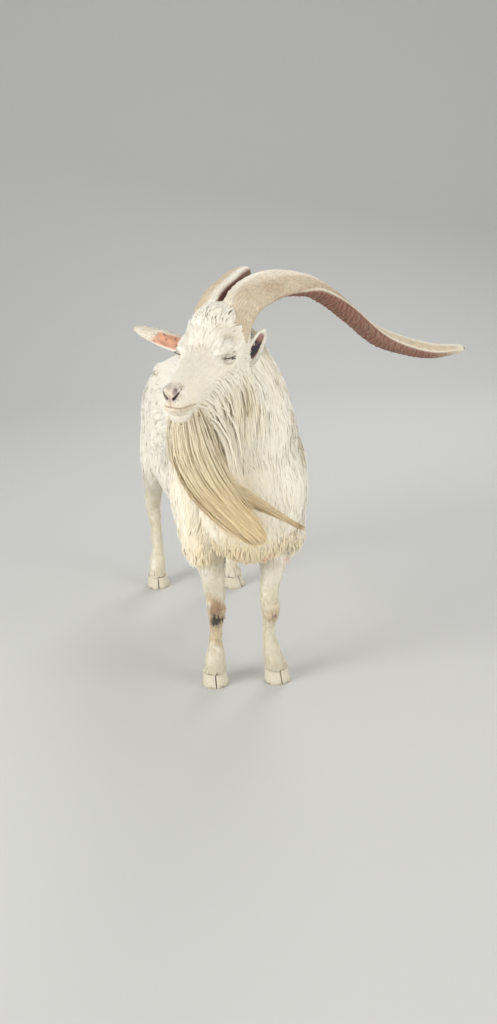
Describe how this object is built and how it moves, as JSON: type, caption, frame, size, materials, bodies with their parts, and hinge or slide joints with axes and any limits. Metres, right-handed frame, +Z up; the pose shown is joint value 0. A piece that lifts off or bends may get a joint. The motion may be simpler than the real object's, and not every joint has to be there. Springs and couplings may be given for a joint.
{
  "type": "goat",
  "caption": "White long-haired billy goat standing with its head turned to its right, with long horns swept back and out and a long cream beard.",
  "frame": {"origin": "middle of the part's box on the floor, under the belly", "axes": "+X towards the goat's left, +Y towards its tail (it faces -Y), +Z up"},
  "size_m": [1.0472, 1.3468, 1.2469],
  "materials": {
    "coat": "long soft white to cream hair, short on the face and legs",
    "beard": "long straight cream-yellow hair",
    "horn": "tan ringed horn, red-brown behind",
    "hoof": "pale dull horn",
    "ear": "short-haired skin, pink inside",
    "eye": "wet, amber-brown"
  },
  "bodies": {
    "root": {"head": "coat", "neck": "coat", "trunk": "coat", "tail": "coat", "foreleg_left_forearm": "coat", "foreleg_left_shank": "coat", "foreleg_right_forearm": "coat", "foreleg_right_shank": "coat", "hindleg_left_gaskin": "coat", "hindleg_left_shank": "coat", "hindleg_right_gaskin": "coat", "hindleg_right_shank": "coat", "beard": "beard", "ear_left": "ear", "ear_right": "ear", "eye_left": "eye", "eye_right": "eye", "horn_left": "horn", "horn_right": "horn", "hoof_fore_left_inner": "hoof", "hoof_fore_left_outer": "hoof", "hoof_fore_right_inner": "hoof", "hoof_fore_right_outer": "hoof", "hoof_hind_left_inner": "hoof", "hoof_hind_left_outer": "hoof", "hoof_hind_right_inner": "hoof", "hoof_hind_right_outer": "hoof", "dewclaw_fore_left_inner": "hoof", "dewclaw_fore_left_outer": "hoof", "dewclaw_fore_right_inner": "hoof", "dewclaw_fore_right_outer": "hoof", "dewclaw_hind_left_inner": "hoof", "dewclaw_hind_left_outer": "hoof", "dewclaw_hind_right_inner": "hoof", "dewclaw_hind_right_outer": "hoof"}
  },
  "joints": []
}
